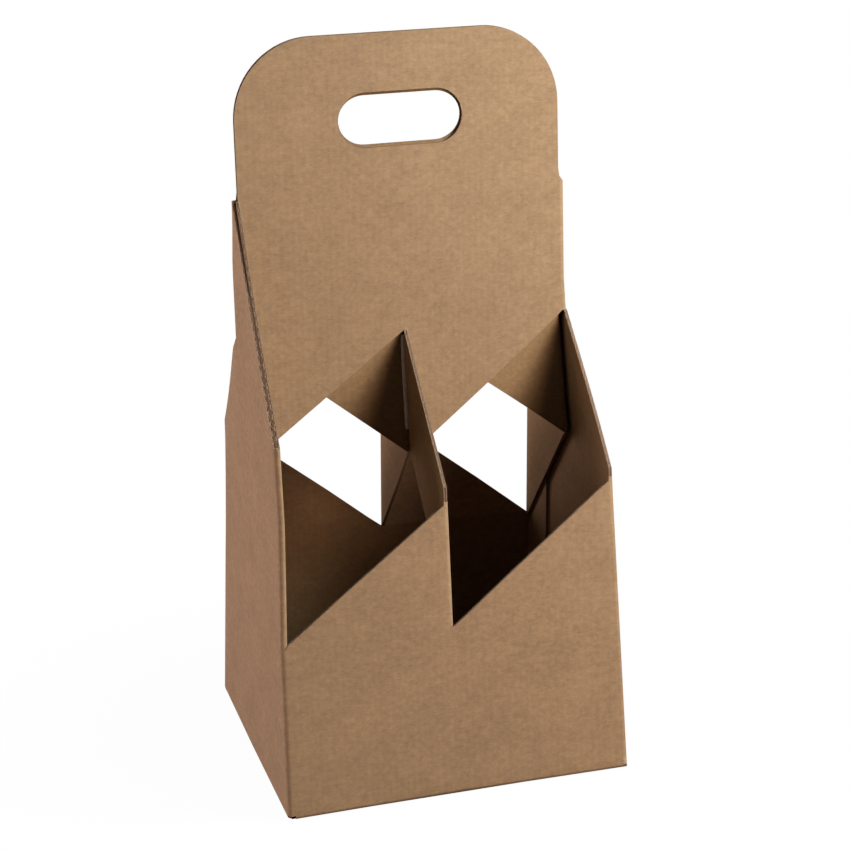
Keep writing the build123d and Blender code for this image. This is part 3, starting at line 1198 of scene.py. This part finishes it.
# %% Fluted paper piece
tree = flute_tree(raw_edge)
modifier = channel_lines.modifiers.new("fluted paper", "NODES")
modifier.node_group = tree
for item in tree.interface.items_tree:
    if item.in_out == "INPUT" and item.socket_type == "NodeSocketFloat":
        modifier[item.identifier] = item.default_value
graph = bpy.context.evaluated_depsgraph_get()
flute_mesh = bpy.data.meshes.new_from_object(channel_lines.evaluated_get(graph), depsgraph=graph)
flute_mesh.name = "fluted_paper"
bend_mesh(flute_mesh)
flute_piece = bpy.data.objects.new("fluted_paper", flute_mesh)
bpy.context.collection.objects.link(flute_piece)
bpy.data.objects.remove(channel_lines)
print("fluted paper", len(flute_mesh.vertices), "vertices", len(flute_mesh.polygons), "faces")

# %% [markdown]
# Where a divider hinges away from the handle, the stretched liner has come loose from the flutes
# and stands up as a rolled bead, in the corner beside the handle. Its near-white colour is painted
# light, which makes it look lit in the shade there. It is a stack of rings that narrow at both
# ends. Half a turn gives the back divider the same bead.

# %% Beads along the dividers' folds
BEAD_MIDDLE = (-1.25 * MM, -1.6 * MM)
BEAD_RADIUS = 1.3 * MM
BEAD_TIP = 0.55  # the radius of a bead's tip, as a share of the bead's own
BEAD_END = 1.5 * MM  # how far from the tip the bead has its full radius
BEAD_FOOT, BEAD_TOP = 167.6 * MM, 218.0 * MM
BEAD_RINGS = 28
BEAD_SIDES = 14
BEAD_SMOOTH_ANGLE = math.radians(50)
# Painted light: the bead's pale colour makes it look lit in the shade.
BEAD_PAINTED_LIGHT = "#f4e6e3"


def bead_ring(height):
    """The places of a ring of the front divider's bead."""
    from_end = min(height - BEAD_FOOT, BEAD_TOP - height)
    radius = BEAD_RADIUS * (BEAD_TIP + (1 - BEAD_TIP) * min(from_end / BEAD_END, 1.0))
    angles = [math.tau * j / BEAD_SIDES for j in range(BEAD_SIDES)]
    x, y = BEAD_MIDDLE
    return [(x + radius * math.cos(a), y + radius * math.sin(a), height) for a in angles]


def bead_faces(first):
    """The faces of a bead whose places start at the number first, from its foot to its top."""
    foot = [tuple(first + j for j in reversed(range(BEAD_SIDES)))]
    sides = []
    for ring in range(first, first + (BEAD_RINGS - 1) * BEAD_SIDES, BEAD_SIDES):
        for j in range(BEAD_SIDES):
            a, b = ring + j, ring + (j + 1) % BEAD_SIDES
            sides.append((a, b, b + BEAD_SIDES, a + BEAD_SIDES))
    top_ring = first + (BEAD_RINGS - 1) * BEAD_SIDES
    return foot + sides + [tuple(range(top_ring, top_ring + BEAD_SIDES))]


bead_points = []
for i in range(BEAD_RINGS):
    bead_points += bead_ring(BEAD_FOOT + (BEAD_TOP - BEAD_FOOT) * i / (BEAD_RINGS - 1))
turned_points = [(-x, -y, z) for x, y, z in bead_points]
bead_mesh = bpy.data.meshes.new("fold_bead")
bead_mesh.from_pydata(bead_points + turned_points, [], bead_faces(0) + bead_faces(len(bead_points)))
bend_mesh(bead_mesh)
bead_mesh.polygons.foreach_set("use_smooth", [True] * len(bead_mesh.polygons))
bead_mesh.set_sharp_from_angle(angle=BEAD_SMOOTH_ANGLE)
# The bead's paper is near white, as painted light.
bead_mesh.materials.append(kraft_liner("fold_bead_painted_light", BEAD_PAINTED_LIGHT))
bead_piece = bpy.data.objects.new("fold_bead", bead_mesh)
bpy.context.collection.objects.link(bead_piece)
print("beads", len(bead_mesh.polygons), "faces")

# %% [markdown]
# The paper under the carrier is in full shade, which shows through the small hole that the folds
# leave at a bottom corner. A dark sheet with the outline of the racked base gives that shade. It
# keeps inside the base by a different distance at each corner.

# %% Shade under the carrier
SHADE_INSETS = ((2.2, 2.3), (5.0, 2.6), (6.0, 6.0), (20.0, 6.0))  # mm, from the front left corner round
SHADE_HEIGHT = 0.05 * MM
SHADE = "#120a06"

base_corners = []
for (x, y), (inset_x, inset_y) in zip(ROUND_THE_MIDDLE, SHADE_INSETS):
    base_corners.append((x * (HALF_WIDTH - inset_x * MM), y * (HALF_DEPTH - inset_y * MM), 0.0))
shade_corners = bent(np.array(base_corners))
shade_corners[:, 2] = SHADE_HEIGHT
shade_material, shade_output = new_material("floor_paper_in_full_shade")
shade_surface = add_node(
    shade_material.node_tree, "ShaderNodeBsdfDiffuse", values={"Color": linear(SHADE)}
)
shade_material.node_tree.links.new(shade_surface.outputs[0], shade_output.inputs["Surface"])
shade_mesh = bpy.data.meshes.new("shade_under_carrier")
shade_mesh.from_pydata(shade_corners.tolist(), [], [(0, 1, 2, 3)])
shade_mesh.materials.append(shade_material)
shade = bpy.data.objects.new("shade_under_carrier", shade_mesh)
bpy.context.collection.objects.link(shade)
print("shade sheet from", [round(float(c) / MM, 1) for c in shade_corners[0]])

# %% [markdown]
# All pieces belong to the one body. The card piece stands for the imported model.

# %% Tie the pieces to the frame
for piece in (card_piece, flute_piece, bead_piece):
    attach(piece, "root")
    print(piece.name, "rides on root")
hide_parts("carrier")
